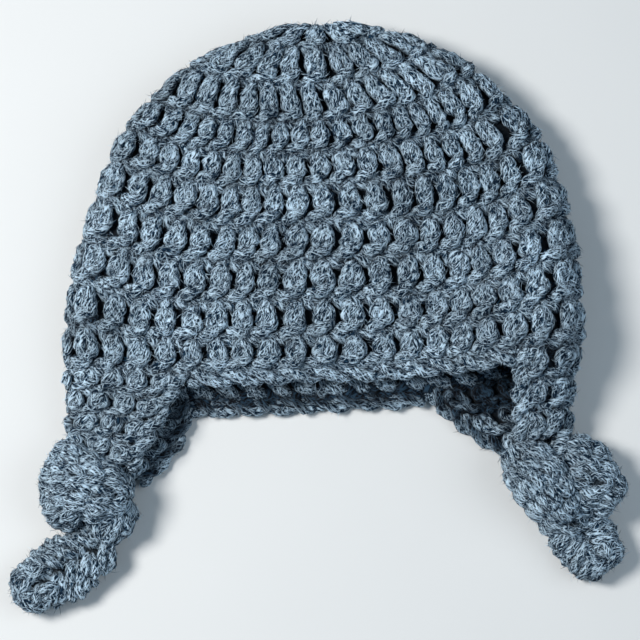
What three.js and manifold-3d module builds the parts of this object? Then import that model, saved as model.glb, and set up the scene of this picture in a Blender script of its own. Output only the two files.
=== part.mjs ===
// Crocheted earflap hat, lying on its back, with a knotted strap end on each flap.
// Lengths are in millimetres. +X is to the right, +Y towards the crown and +Z up.
// The under layer of the hat rests on the plane z = 0.
import * as THREE from 'three';
import { mergeVertices } from 'three/addons/utils/BufferGeometryUtils.js';
import Module from 'manifold-3d';

const wasm = await Module();
wasm.setup();

// Driving dimensions
const wallThickness = 5.4;
const pieceGap = 0.32;
const ribHeight = 1.0;
const roundCount = 10;
const aroundSegments = 72;
const crownMiddle = { x: 1.3, y: 87.2, z: 9.5 };
const edgingRadius = 2.5;
const mouthPuff = { side: 0.68, reach: 0.26, height: 4.0 };
const yarnColour = 0x7f8894;
const originShift = { x: -0.82, y: -1.65 };

// One row for each round's lower edge, from the crown down to the brim: where the middle of
// the wall meets the left and right folds, how far the upper and under layers dip below
// the line between the folds, the under layer's height, half the loft, and the fold radii.
const roundColumns = [
  'leftX', 'leftY', 'rightX', 'rightY', 'dip', 'underDip', 'base', 'half', 'leftR', 'rightR',
];
const roundRows = [
  [1.3, 87.2, 1.3, 87.2, 0.0, 0.0, 9.5, 0.0, 0.0, 0.0],
  [-21.7, 81.6, 21.2, 84.0, 2.6, 2.6, 4.3, 5.3, 5.0, 5.2],
  [-37.5, 73.6, 34.6, 79.4, 8.1, 8.3, 2.8, 7.4, 6.0, 6.4],
  [-48.2, 64.0, 46.4, 72.2, 11.2, 12.2, 2.6, 7.9, 6.4, 7.0],
  [-55.7, 55.3, 56.4, 62.6, 11.9, 13.2, 2.6, 8.0, 6.5, 7.3],
  [-60.1, 45.8, 64.6, 52.0, 11.7, 13.8, 2.6, 8.0, 6.5, 7.6],
  [-63.9, 34.8, 69.1, 39.9, 11.5, 14.4, 2.6, 7.9, 6.4, 7.9],
  [-67.6, 22.3, 72.1, 28.4, 10.5, 14.4, 2.6, 7.5, 6.3, 8.3],
  [-70.4, 9.7, 73.9, 16.3, 9.9, 14.9, 2.6, 7.0, 6.1, 8.8],
  [-71.7, -3.4, 74.8, 3.6, 7.4, 12.6, 2.6, 6.2, 5.8, 9.3],
  [-72.0, -16.5, 75.4, -9.7, 2.9, 10.2, 2.6, 5.3, 5.4, 9.7],
];
const rounds = roundRows.map((row) => {
  const named = {};
  roundColumns.forEach((name, k) => {
    named[name] = row[k];
  });
  return named;
});

// Soft dents (negative) and swells (positive) of the upper layer, seen from above.
const dents = [
  { x: -14, y: 74, reach: 10, rise: -1.6 },
  { x: 8, y: 69, reach: 11, rise: -2.0 },
  { x: 29, y: 63, reach: 10, rise: -2.2 },
  { x: 42, y: 54, reach: 9, rise: -2.4 },
  { x: 52, y: 44, reach: 9, rise: -2.6 },
  { x: 55, y: 32, reach: 9, rise: -2.6 },
  { x: 51, y: 18, reach: 9, rise: -2.2 },
  { x: 44, y: 8, reach: 10, rise: -1.8 },
  { x: -2, y: 58, reach: 6, rise: -1.6 },
  { x: 20, y: 44, reach: 15, rise: 1.6 },
  { x: -21, y: 28, reach: 12, rise: -1.5 },
  { x: -16, y: 12, reach: 11, rise: -1.3 },
  { x: -42, y: 26, reach: 14, rise: 1.2 },
];

// Where the flaps start on the brim (a turn is 0 at the right fold and 0.5 at the left one),
// the outline of the narrow end and the bulge of the under edge on the way there.
const leftFlap = {
  from: 28 / 72, to: 44 / 72, ribs: 4,
  neckFoldX: -71.8, neckFoldY: -42.0, foldR: 3.8,
  firstX: -55.5, firstY: -46.5, lastX: -53.1, lastY: -49.0,
  firstPushX: 0, firstPushY: 0, lastPushX: 9, lastPushY: 0,
};
const rightFlap = {
  from: -11 / 72, to: 5 / 72, ribs: 3,
  neckFoldX: 72.6, neckFoldY: -36.6, foldR: 4.0,
  firstX: 60.3, firstY: -41.2, lastX: 60.3, lastY: -38.5,
  firstPushX: -2, firstPushY: -4, lastPushX: -1, lastPushY: 0,
};

// Rolled turns of each knot: centre, half sizes along, across and up, and plan heading.
const leftKnotTurns = [
  { x: -67.5, y: -52.0, z: 10.2, along: 13.2, across: 9.2, up: 10.6, heading: -20 },
  { x: -69.6, y: -46.2, z: 9.0, along: 9.3, across: 6.0, up: 8.6, heading: -30 },
  { x: -73.2, y: -56.4, z: 8.0, along: 6.6, across: 7.2, up: 8.2, heading: 20 },
  { x: -60.2, y: -60.6, z: 6.6, along: 6.8, across: 5.8, up: 6.8, heading: 60 },
];
const rightKnotTurns = [
  { x: 65.6, y: -50.6, z: 9.6, along: 13.4, across: 8.2, up: 9.8, heading: -52 },
  { x: 79.4, y: -50.6, z: 8.2, along: 10.2, across: 8.6, up: 8.6, heading: -38 },
  { x: 77.0, y: -42.6, z: 7.2, along: 9.0, across: 5.4, up: 7.4, heading: -15 },
  { x: 71.5, y: -59.4, z: 6.4, along: 7.6, across: 6.2, up: 6.6, heading: -40 },
];

// Strap ends below the knots: start, end, half width, half thickness.
const leftEnd = { fromX: -61.0, fromY: -66.6, toX: -86.6, toY: -83.2, halfWidth: 8.5, halfThick: 4.9 };
const rightEnd = { fromX: 72.6, fromY: -60.0, toX: 84.2, toY: -73.8, halfWidth: 9.0, halfThick: 5.0 };

// Cubic blend through a column of the table; odd columns change sign past the crown.
function column(name, s, odd) {
  const last = rounds.length - 1;
  const i = Math.min(Math.floor(s), last - 1);
  const f = s - i;
  const origin = rounds[0][name];
  const at = (k) => {
    if (k < 0) return odd ? 2 * origin - rounds[-k][name] : rounds[-k][name];
    if (k > last) return 2 * rounds[last][name] - rounds[last - 1][name];
    return rounds[k][name];
  };
  const [p, q, r, t] = [at(i - 1), at(i), at(i + 1), at(i + 2)];
  const a = 2 * q;
  const b = r - p;
  const c = 2 * p - 5 * q + 4 * r - t;
  const d = 3 * q - p - 3 * r + t;
  return 0.5 * (a + b * f + c * f * f + d * f * f * f);
}

function smooth(x) {
  const c = Math.min(Math.max(x, 0), 1);
  return c * c * (3 - 2 * c);
}

function dentRise(x, y) {
  let rise = 0;
  for (const d of dents) {
    const gap = Math.hypot(x - d.x, y - d.y) / d.reach;
    rise += d.rise * Math.exp(-gap * gap);
  }
  return rise;
}

// Middle of the wall: turn t runs once around from the right fold over the upper layer,
// s counts rounds from the crown (0) to the brim (10).
function capMiddle(t, s) {
  const leftR = Math.max(column('leftR', s, true), 0.001);
  const rightR = Math.max(column('rightR', s, true), 0.001);
  const leftX = column('leftX', s, true);
  const rightX = column('rightX', s, true);
  const halfWidth = (rightX - leftX) / 2;
  const centre = (rightX + leftX) / 2;
  const rightArc = Math.PI / 2 * rightR;
  const leftArc = Math.PI / 2 * leftR;
  const halfTurn = rightArc + leftArc + 2 * halfWidth - leftR - rightR;
  let along = (t - Math.floor(t)) * 2 * halfTurn;
  const under = along > halfTurn;
  if (under) along = 2 * halfTurn - along;
  let x = rightX - rightR - (along - rightArc);
  let level = 1;
  if (along < rightArc) {
    x = rightX - rightR + rightR * Math.cos(along / rightR);
    level = Math.sin(along / rightR);
  } else if (along > halfTurn - leftArc) {
    const rest = (halfTurn - along) / leftR;
    x = leftX + leftR - leftR * Math.cos(rest);
    level = Math.sin(rest);
  }
  if (under) level = -level;
  return placeOnRound(x, level, s, { leftX, rightX, leftR, rightR, halfWidth, centre });
}

function placeOnRound(x, level, s, r) {
  const side = halfSide(x, r);
  const power = 2.2 + 1.8 * smooth((s - 2) / 6);
  const bow = 1 - Math.pow(Math.min(Math.abs(side), 1), power);
  const share = (1 + level) / 2;
  const dip = share * column('dip', s, false) + (1 - share) * column('underDip', s, false);
  const line = column('leftY', s, false) * (1 - side) / 2 + column('rightY', s, false) * (1 + side) / 2;
  const y = line - dip * bow;
  const middle = column('half', s, true);
  let half = middle + (r.leftR - middle) * smooth((-side - 0.45) / 0.55);
  half += (r.rightR - middle) * smooth((side - 0.25) / 0.75);
  const puffGap = (side - mouthPuff.side) / mouthPuff.reach;
  const puff = mouthPuff.height * Math.exp(-puffGap * puffGap) * smooth((s - 4.5) / 5.5);
  const lift = Math.max(level, 0) * (puff + dentRise(x, y) * smooth(s / 2));
  return new THREE.Vector3(x, y, column('base', s, false) + half * (1 + level) + lift);
}

function halfSide(x, r) {
  return r.halfWidth > 0.001 ? (x - r.centre) / r.halfWidth : 0;
}

function gridNormal(place, u, v) {
  const step = 0.004;
  const du = place(u + step, v).sub(place(u - step, v));
  const dv = place(u, v + step * 5).sub(place(u, v));
  return du.cross(dv).normalize();
}

function capNormal(t, s) {
  return gridNormal(capMiddle, t, Math.max(s, 0.02));
}

// Height of the raised band that each round of stitches makes on the outside.
function rib(s) {
  return ribHeight * (Math.pow(Math.abs(Math.sin(Math.PI * s)), 0.8) - 0.5);
}

function onFloor(p) {
  p.z = Math.max(p.z, 0);
  return p;
}

// Collects corners and triangles of one closed surface.
function newSkin() {
  const corners = [];
  const faces = [];
  return {
    corner(p) {
      corners.push(p.x + originShift.x, p.y + originShift.y, p.z);
      return corners.length / 3 - 1;
    },
    face(a, b, c) {
      faces.push(a, b, c);
    },
    quad(a, b, c, d) {
      faces.push(a, b, c, a, c, d);
    },
    geometry() {
      const g = new THREE.BufferGeometry();
      g.setAttribute('position', new THREE.Float32BufferAttribute(corners, 3));
      g.setIndex(faces);
      return mergeVertices(g, 0.0001);
    },
  };
}

function capGeometry() {
  const skin = newSkin();
  const outerLevels = [];
  for (let k = 0; k < roundCount; k += 1) {
    if (k > 0) outerLevels.push(k);
    outerLevels.push(k + 0.3, k + 0.7);
  }
  outerLevels.push(roundCount);
  const innerLevels = [];
  for (let k = 1; k <= roundCount; k += 1) innerLevels.push(k);
  const outer = capRings(skin, outerLevels, (s) => wallThickness / 2 + rib(s) * smooth(s));
  const inner = capRings(skin, innerLevels, () => -wallThickness / 2);
  const tip = new THREE.Vector3(crownMiddle.x, crownMiddle.y, crownMiddle.z);
  const outerTip = skin.corner(tip.clone().add(new THREE.Vector3(0, wallThickness / 2, 0)));
  const innerTip = skin.corner(tip.clone().add(new THREE.Vector3(0, -wallThickness / 2, 0)));
  for (let i = 0; i < aroundSegments; i += 1) {
    const j = (i + 1) % aroundSegments;
    skin.face(outerTip, outer[0][j], outer[0][i]);
    skin.face(innerTip, inner[0][i], inner[0][j]);
    for (let k = 0; k + 1 < outer.length; k += 1) {
      skin.quad(outer[k][i], outer[k][j], outer[k + 1][j], outer[k + 1][i]);
    }
    for (let k = 0; k + 1 < inner.length; k += 1) {
      skin.quad(inner[k][j], inner[k][i], inner[k + 1][i], inner[k + 1][j]);
    }
    const o = outer[outer.length - 1];
    const n = inner[inner.length - 1];
    skin.quad(o[i], o[j], n[j], n[i]);
  }
  return skin.geometry();
}

function capRings(skin, levels, offset) {
  return levels.map((s) => {
    const ring = [];
    for (let i = 0; i < aroundSegments; i += 1) {
      const t = i / aroundSegments;
      const p = capMiddle(t, s).addScaledVector(capNormal(t, s), offset(s));
      ring.push(skin.corner(onFloor(p)));
    }
    return ring;
  });
}

// Narrow end of a flap: a flattened loop from its first edge round the fold to its last.
function neckPoint(flap, u) {
  const sign = Math.sign(flap.neckFoldX);
  const r = flap.foldR;
  const turnX = flap.neckFoldX - sign * r;
  const first = Math.abs(turnX - flap.firstX);
  const arc = Math.PI * r;
  const last = Math.abs(turnX - flap.lastX);
  const along = u * (first + arc + last);
  const firstOnTop = sign < 0;
  let x = turnX;
  let level = firstOnTop ? 1 : -1;
  let share = 0;
  if (along < first) {
    x = flap.firstX + sign * along;
    share = along / first * 0.5;
  } else if (along < first + arc) {
    const angle = (along - first) / r;
    x = turnX + sign * r * Math.sin(angle);
    level *= Math.cos(angle);
    share = 0.5;
  } else {
    const rest = along - first - arc;
    x = turnX - sign * rest;
    level = -level;
    share = 0.5 + rest / last * 0.5;
  }
  const near = flap.firstY + (flap.neckFoldY - flap.firstY) * smooth(share * 2);
  const y = near + (flap.lastY - flap.neckFoldY) * smooth(share * 2 - 1);
  return new THREE.Vector3(x, y, 2.6 + r * (1 + level));
}

function flapMiddle(flap, u, v) {
  const start = capMiddle(flap.from + (flap.to - flap.from) * u, roundCount);
  const end = neckPoint(flap, u);
  const bend = start.clone().add(end).multiplyScalar(0.5);
  bend.x += flap.firstPushX * Math.pow(1 - u, 4) + flap.lastPushX * Math.pow(Math.max(u, 0), 4);
  bend.y += flap.firstPushY * Math.pow(1 - u, 4) + flap.lastPushY * Math.pow(Math.max(u, 0), 4);
  const p = start.multiplyScalar((1 - v) * (1 - v));
  p.addScaledVector(bend, 2 * v * (1 - v));
  p.addScaledVector(end, v * v);
  return p;
}

function flapNormal(flap, u, v) {
  const inside = Math.min(Math.max(u, 0.005), 0.995);
  const own = gridNormal((a, b) => flapMiddle(flap, a, b), inside, Math.min(v, 0.98));
  const brim = capNormal(flap.from + (flap.to - flap.from) * u, roundCount);
  return brim.lerp(own, smooth(v / 0.35)).normalize();
}

// A flap as a thick bent sheet; grow widens it on every side, for cutting its seat in the knot.
function flapGeometry(flap, grow) {
  const skin = newSkin();
  const across = 16;
  const down = flap.ribs * 3;
  const outer = [];
  const inner = [];
  for (let k = 0; k <= down; k += 1) {
    const v = 0.016 + k / down * (0.984 + grow * 0.06);
    outer.push([]);
    inner.push([]);
    for (let i = 0; i <= across; i += 1) {
      const u = i / across + (i / across - 0.5) * grow * 0.08;
      const n = flapNormal(flap, u, v);
      const half = wallThickness / 2 + grow;
      const bump = rib(v * flap.ribs) * 0.9;
      const round = Math.sqrt(1 - Math.pow(Math.abs(2 * i / across - 1), 12) * 0.5);
      const m = flapMiddle(flap, u, v);
      outer[k].push(skin.corner(onFloor(m.clone().addScaledVector(n, (half + bump) * round))));
      inner[k].push(skin.corner(onFloor(m.clone().addScaledVector(n, -half * round))));
    }
  }
  closeSheet(skin, outer, inner);
  return skin.geometry();
}

function closeSheet(skin, outer, inner) {
  const down = outer.length - 1;
  const across = outer[0].length - 1;
  for (let k = 0; k < down; k += 1) {
    for (let i = 0; i < across; i += 1) {
      skin.quad(outer[k][i], outer[k][i + 1], outer[k + 1][i + 1], outer[k + 1][i]);
      skin.quad(inner[k][i + 1], inner[k][i], inner[k + 1][i], inner[k + 1][i + 1]);
    }
    skin.quad(inner[k][0], outer[k][0], outer[k + 1][0], inner[k + 1][0]);
    skin.quad(outer[k][across], inner[k][across], inner[k + 1][across], outer[k + 1][across]);
  }
  for (let i = 0; i < across; i += 1) {
    skin.quad(outer[0][i], inner[0][i], inner[0][i + 1], outer[0][i + 1]);
    skin.quad(outer[down][i], outer[down][i + 1], inner[down][i + 1], inner[down][i]);
  }
}

// Edging: a round strand laid against the brim between two turns.
function edgingGeometry(from, to) {
  const points = [];
  const count = 9;
  for (let i = 0; i < count; i += 1) {
    const t = from + (to - from) * i / (count - 1);
    const lip = capMiddle(t, roundCount);
    const away = lip.clone().sub(capMiddle(t, roundCount - 0.1)).normalize();
    lip.addScaledVector(away, edgingRadius + pieceGap);
    points.push(new THREE.Vector3(lip.x + originShift.x, lip.y + originShift.y, lip.z));
  }
  const outline = new THREE.Shape();
  outline.absarc(0, 0, edgingRadius, 0, Math.PI * 2, false);
  const path = new THREE.CatmullRomCurve3(points, false, 'centripetal');
  const sweep = { steps: 18, extrudePath: path, curveSegments: 5, bevelEnabled: false };
  const g = new THREE.ExtrudeGeometry(outline, sweep);
  g.deleteAttribute('normal');
  g.deleteAttribute('uv');
  return mergeVertices(g, 0.0001);
}

// One rolled turn of a knot, an ellipsoid with squarer sides than a ball's.
function turnGeometry(turn, grow) {
  const skin = newSkin();
  const lon = 14;
  const lat = 8;
  const heading = THREE.MathUtils.degToRad(turn.heading);
  const square = (a) => Math.sign(a) * Math.pow(Math.abs(a), 0.85);
  const place = (i, k) => {
    const a = i / lon * Math.PI * 2;
    const b = k / lat * Math.PI;
    const ring = square(Math.sin(b));
    const p = new THREE.Vector3();
    p.x = (turn.along + grow) * square(Math.cos(b));
    p.y = (turn.across + grow) * ring * square(Math.cos(a));
    p.z = (turn.up + grow) * ring * square(Math.sin(a));
    p.applyAxisAngle(new THREE.Vector3(0, 0, 1), heading);
    return p.add(new THREE.Vector3(turn.x, turn.y, turn.z));
  };
  const first = skin.corner(place(0, 0));
  const last = skin.corner(place(0, lat));
  const rings = [];
  for (let k = 1; k < lat; k += 1) {
    const ring = [];
    for (let i = 0; i < lon; i += 1) ring.push(skin.corner(place(i, k)));
    rings.push(ring);
  }
  for (let i = 0; i < lon; i += 1) {
    const j = (i + 1) % lon;
    skin.face(first, rings[0][i], rings[0][j]);
    skin.face(last, rings[lat - 2][j], rings[lat - 2][i]);
    for (let k = 0; k + 1 < rings.length; k += 1) {
      skin.quad(rings[k][i], rings[k + 1][i], rings[k + 1][j], rings[k][j]);
    }
  }
  return skin.geometry();
}

function toManifold(g) {
  const vertProperties = new Float32Array(g.attributes.position.array);
  const triVerts = new Uint32Array(g.index.array);
  return new wasm.Manifold(new wasm.Mesh({ numProp: 3, vertProperties, triVerts }));
}

function fromManifold(solid) {
  const mesh = solid.getMesh();
  const g = new THREE.BufferGeometry();
  const xyz = new Float32Array(mesh.numVert * 3);
  for (let i = 0; i < mesh.numVert; i += 1) {
    for (let c = 0; c < 3; c += 1) xyz[i * 3 + c] = mesh.vertProperties[i * mesh.numProp + c];
  }
  g.setAttribute('position', new THREE.BufferAttribute(xyz, 3));
  g.setIndex(Array.from(mesh.triVerts));
  return mergeVertices(g, 0.0001);
}

function knotBody(turns, grow) {
  let body = toManifold(turnGeometry(turns[0], grow));
  for (const turn of turns.slice(1)) body = body.add(toManifold(turnGeometry(turn, grow)));
  return body;
}

function knotGeometry(turns, flap) {
  const seat = toManifold(flapGeometry(flap, pieceGap));
  const body = knotBody(turns, 0).subtract(seat).trimByPlane([0, 0, 1], 0);
  return fromManifold(largestPiece(body));
}

function largestPiece(body) {
  const pieces = body.decompose();
  pieces.sort((a, b) => b.volume() - a.volume());
  return pieces[0].simplify(0.06);
}

// Strap end: a thick rounded stub with a shallow groove down its upper face.
function strapEndBody(end) {
  const skin = newSkin();
  const stations = 12;
  const around = 16;
  const from = new THREE.Vector3(end.fromX, end.fromY, 0);
  const to = new THREE.Vector3(end.toX, end.toY, 0);
  const length = from.distanceTo(to);
  const dir = to.clone().sub(from).normalize();
  const side = new THREE.Vector3(-dir.y, dir.x, 0);
  const rings = [];
  for (let k = 1; k < stations; k += 1) {
    const v = 0.5 - 0.5 * Math.cos(k / stations * Math.PI);
    const swell = Math.pow(1 - Math.pow(Math.abs(2 * v - 1), 3.2), 0.5);
    const thick = end.halfThick * Math.pow(swell, 0.8);
    const ring = [];
    for (let i = 0; i < around; i += 1) {
      const a = i / around * Math.PI * 2;
      const across = end.halfWidth * swell * Math.sign(Math.cos(a)) * Math.pow(Math.abs(Math.cos(a)), 0.8);
      const groove = 1 - 0.3 * Math.exp(-Math.pow(across / 2.2, 2)) * Math.max(Math.sin(a), 0);
      const up = end.halfThick + thick * Math.sin(a) * groove;
      const p = from.clone().addScaledVector(dir, v * length).addScaledVector(side, across);
      p.z = up;
      ring.push(skin.corner(p));
    }
    rings.push(ring);
  }
  const first = skin.corner(new THREE.Vector3(end.fromX, end.fromY, end.halfThick));
  const last = skin.corner(new THREE.Vector3(end.toX, end.toY, end.halfThick));
  for (let i = 0; i < around; i += 1) {
    const j = (i + 1) % around;
    skin.face(first, rings[0][j], rings[0][i]);
    skin.face(last, rings[rings.length - 1][i], rings[rings.length - 1][j]);
    for (let k = 0; k + 1 < rings.length; k += 1) {
      skin.quad(rings[k][j], rings[k + 1][j], rings[k + 1][i], rings[k][i]);
    }
  }
  return toManifold(skin.geometry());
}

function strapEndGeometry(end, turns, flap) {
  const seat = knotBody(turns, pieceGap).add(toManifold(flapGeometry(flap, pieceGap)));
  return fromManifold(largestPiece(strapEndBody(end).subtract(seat)));
}

function addPiece(group, name, geometry) {
  const material = new THREE.MeshStandardMaterial({ color: yarnColour, roughness: 0.95, metalness: 0 });
  const mesh = new THREE.Mesh(geometry, material);
  mesh.name = name;
  group.add(mesh);
}

const hat = new THREE.Group();
hat.name = 'earflap_hat';
addPiece(hat, 'cap', capGeometry());
addPiece(hat, 'front_edging', edgingGeometry(rightFlap.to + 0.012, leftFlap.from - 0.012));
addPiece(hat, 'back_edging', edgingGeometry(leftFlap.to + 0.012, rightFlap.from + 1 - 0.012));
addPiece(hat, 'left_ear_flap', flapGeometry(leftFlap, 0));
addPiece(hat, 'right_ear_flap', flapGeometry(rightFlap, 0));
addPiece(hat, 'left_knot', knotGeometry(leftKnotTurns, leftFlap));
addPiece(hat, 'right_knot', knotGeometry(rightKnotTurns, rightFlap));
addPiece(hat, 'left_strap_end', strapEndGeometry(leftEnd, leftKnotTurns, leftFlap));
addPiece(hat, 'right_strap_end', strapEndGeometry(rightEnd, rightKnotTurns, rightFlap));

export default hat;
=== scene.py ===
import math

import bpy
import numpy as np
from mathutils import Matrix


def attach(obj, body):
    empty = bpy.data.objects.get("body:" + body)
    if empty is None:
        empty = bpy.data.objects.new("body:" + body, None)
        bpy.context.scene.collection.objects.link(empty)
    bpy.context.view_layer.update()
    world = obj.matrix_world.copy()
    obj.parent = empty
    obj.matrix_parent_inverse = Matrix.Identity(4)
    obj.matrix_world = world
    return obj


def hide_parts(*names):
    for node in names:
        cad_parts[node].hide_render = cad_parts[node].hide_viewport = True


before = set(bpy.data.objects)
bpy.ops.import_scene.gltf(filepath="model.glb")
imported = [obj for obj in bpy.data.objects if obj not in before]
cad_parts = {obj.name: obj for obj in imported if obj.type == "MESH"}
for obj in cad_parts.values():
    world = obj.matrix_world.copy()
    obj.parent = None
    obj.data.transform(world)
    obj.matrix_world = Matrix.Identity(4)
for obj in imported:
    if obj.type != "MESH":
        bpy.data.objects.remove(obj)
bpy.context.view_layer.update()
print("frame loaded")

# Shapes are worked out in millimetres and scaled to metres when a mesh is made.
milli = 0.001


# the shape of the hat: a table of rounds from the crown to the brim, with soft dents

hatShape = {
    "columns": ["leftX", "leftY", "rightX", "rightY", "dip", "underDip",
                "base", "half", "leftR", "rightR"],
    "rounds": [
        [1.3, 87.2, 1.3, 87.2, 0.0, 0.0, 9.5, 0.0, 0.0, 0.0],
        [-21.7, 81.6, 21.2, 84.0, 2.6, 2.6, 4.3, 5.3, 5.0, 5.2],
        [-37.5, 73.6, 34.6, 79.4, 8.1, 8.3, 2.8, 7.4, 6.0, 6.4],
        [-48.2, 64.0, 46.4, 72.2, 11.2, 12.2, 2.6, 7.9, 6.4, 7.0],
        [-55.7, 55.3, 56.4, 62.6, 11.9, 13.2, 2.6, 8.0, 6.5, 7.3],
        [-60.1, 45.8, 64.6, 52.0, 11.7, 13.8, 2.6, 8.0, 6.5, 7.6],
        [-63.9, 34.8, 69.1, 39.9, 11.5, 14.4, 2.6, 7.9, 6.4, 7.9],
        [-67.6, 22.3, 72.1, 28.4, 10.5, 14.4, 2.6, 7.5, 6.3, 8.3],
        [-70.4, 9.7, 73.9, 16.3, 9.9, 14.9, 2.6, 7.0, 6.1, 8.8],
        [-71.7, -3.4, 74.8, 3.6, 7.4, 12.6, 2.6, 6.2, 5.8, 9.3],
        [-72.0, -16.5, 75.4, -9.7, 2.9, 10.2, 2.6, 5.3, 5.4, 9.7],
    ],
    "dents": [  # x, y, reach, rise
        [-14, 74, 10, -1.6], [8, 69, 11, -2.0], [29, 63, 10, -2.2], [42, 54, 9, -2.4],
        [52, 44, 9, -2.6], [55, 32, 9, -2.6], [51, 18, 9, -2.2], [44, 8, 10, -1.8],
        [-2, 58, 6, -1.6], [20, 44, 15, 1.6], [-21, 28, 12, -1.5], [-16, 12, 11, -1.3],
        [-42, 26, 14, 1.2],
    ],
    "puffHeight": 4.0,   # how far the upper layer stands up at the mouth, mm
    "puffSide": 0.68,    # where, as a share from the middle to the right fold
    "puffReach": 0.26,
    "puffFrom": 4.5,     # the round where it starts
    "bowPower": 2.2,     # how flat a round runs before it bends to the folds
    "bowGrowth": 1.8,
    "flapBase": 2.6,     # height of a flap's wall over the floor, mm
    "flapBlend": 0.35,   # share of a flap that turns from the brim's facing to its own
}
roundTable = np.array(hatShape["rounds"])
hatShift = np.array([-0.82, -1.65, 0.0])  # sets the hat's middle over the origin, mm
brimRound = 10.0
slopeTurn = 0.004  # steps for measuring which way the wall faces
slopeRound = 0.02


def ease(x):
    c = np.clip(x, 0.0, 1.0)
    return c * c * (3 - 2 * c)


def unit(v):
    return v / np.maximum(np.linalg.norm(v, axis=-1, keepdims=True), 1e-9)


# cubic blend down one column; odd columns change sign past the crown
def columnAt(name, s, odd=False):
    values = roundTable[:, hatShape["columns"].index(name)]
    before = 2 * values[0] - values[1] if odd else values[1]
    padded = np.concatenate([[before], values, [2 * values[-1] - values[-2]]])
    i = np.clip(np.floor(s).astype(int), 0, len(values) - 2)
    f = s - i
    p, q, r, t = padded[i], padded[i + 1], padded[i + 2], padded[i + 3]
    curve = (2 * p - 5 * q + 4 * r - t) * f**2 + (3 * q - p - 3 * r + t) * f**3
    return 0.5 * (2 * q + (r - p) * f + curve)


# middle of the wall: t goes once round from the right fold over the upper layer, s counts
# rounds from crown to brim
def capMiddle(t, s):
    t, s = np.broadcast_arrays(np.asarray(t, float), np.asarray(s, float))
    leftR = np.maximum(columnAt("leftR", s, True), 0.001)
    rightR = np.maximum(columnAt("rightR", s, True), 0.001)
    leftX = columnAt("leftX", s, True)
    rightX = columnAt("rightX", s, True)
    halfWidth = (rightX - leftX) / 2
    centre = (rightX + leftX) / 2
    rightArc = np.pi / 2 * rightR
    leftArc = np.pi / 2 * leftR
    halfTurn = rightArc + leftArc + 2 * halfWidth - leftR - rightR
    along = (t - np.floor(t)) * 2 * halfTurn
    under = along > halfTurn
    along = np.where(under, 2 * halfTurn - along, along)
    nearRight = along < rightArc
    nearLeft = along > halfTurn - leftArc
    rest = (halfTurn - along) / leftR
    x = rightX - rightR - (along - rightArc)
    x = np.where(nearRight, rightX - rightR + rightR * np.cos(along / rightR), x)
    x = np.where(nearLeft, leftX + leftR - leftR * np.cos(rest), x)
    level = np.where(nearLeft, np.sin(rest), 1.0)
    level = np.where(nearRight, np.sin(along / rightR), level)
    level = np.where(under, -level, level)
    side = (x - centre) / np.maximum(halfWidth, 0.001)
    power = hatShape["bowPower"] + hatShape["bowGrowth"] * ease((s - 2) / 6)
    bow = 1 - np.minimum(np.abs(side), 1) ** power
    share = (1 + level) / 2
    dip = share * columnAt("dip", s) + (1 - share) * columnAt("underDip", s)
    line = columnAt("leftY", s) * (1 - side) / 2 + columnAt("rightY", s) * (1 + side) / 2
    y = line - dip * bow
    middle = columnAt("half", s, True)
    half = middle + (leftR - middle) * ease((-side - 0.45) / 0.55)
    half = half + (rightR - middle) * ease((side - 0.25) / 0.75)
    puffGap = (side - hatShape["puffSide"]) / hatShape["puffReach"]
    puffGrowth = ease((s - hatShape["puffFrom"]) / (brimRound - hatShape["puffFrom"]))
    puff = hatShape["puffHeight"] * np.exp(-puffGap**2) * puffGrowth
    rise = np.zeros_like(x)
    for dentX, dentY, reach, up in hatShape["dents"]:
        rise = rise + up * np.exp(-((x - dentX) ** 2 + (y - dentY) ** 2) / reach**2)
    lift = np.maximum(level, 0) * (puff + rise * ease(s / 2))
    z = columnAt("base", s) + half * (1 + level) + lift
    return np.stack([x, y, z], -1) + hatShift


def facing(place, u, v):
    across = place(u + slopeTurn, v) - place(u - slopeTurn, v)
    down = place(u, v + slopeRound) - place(u, v)
    return unit(np.cross(across, down))


def capPlace(t, s, h):
    s = np.maximum(s, 0.03)
    return capMiddle(t, s) + facing(capMiddle, t, s) * np.asarray(h)[..., None]


leftFlap = {
    "from": 28 / 72, "to": 44 / 72,  # turns along the brim
    "neckFold": [-71.8, -42.0], "foldR": 3.8,
    "first": [-55.5, -46.5], "last": [-53.1, -49.0],
    "firstPush": [0, 0], "lastPush": [9, 0],
}
rightFlap = {
    "from": -11 / 72, "to": 5 / 72,
    "neckFold": [72.6, -36.6], "foldR": 4.0,
    "first": [60.3, -41.2], "last": [60.3, -38.5],
    "firstPush": [-2, -4], "lastPush": [-1, 0],
}


# narrow end of a flap: a flattened loop from its first edge round the fold to its last
def flapNeck(flap, u):
    sign = np.sign(flap["neckFold"][0])
    r = flap["foldR"]
    turnX = flap["neckFold"][0] - sign * r
    first = abs(turnX - flap["first"][0])
    last = abs(turnX - flap["last"][0])
    arc = np.pi * r
    along = u * (first + arc + last)
    top = 1.0 if sign < 0 else -1.0
    parts = [along < first, along < first + arc]
    angle = (along - first) / r
    rest = along - first - arc
    onFirst = flap["first"][0] + sign * along
    onArc = turnX + sign * r * np.sin(angle)
    x = np.select(parts, [onFirst, onArc], turnX - sign * rest)
    level = np.select(parts, [np.full(u.shape, top), top * np.cos(angle)], -top)
    share = np.select(parts, [along / first * 0.5, np.full(u.shape, 0.5)], 0.5 + rest / last * 0.5)
    y = flap["first"][1] + (flap["neckFold"][1] - flap["first"][1]) * ease(share * 2)
    y = y + (flap["last"][1] - flap["neckFold"][1]) * ease(share * 2 - 1)
    return np.stack([x, y, hatShape["flapBase"] + r * (1 + level)], -1) + hatShift


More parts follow.
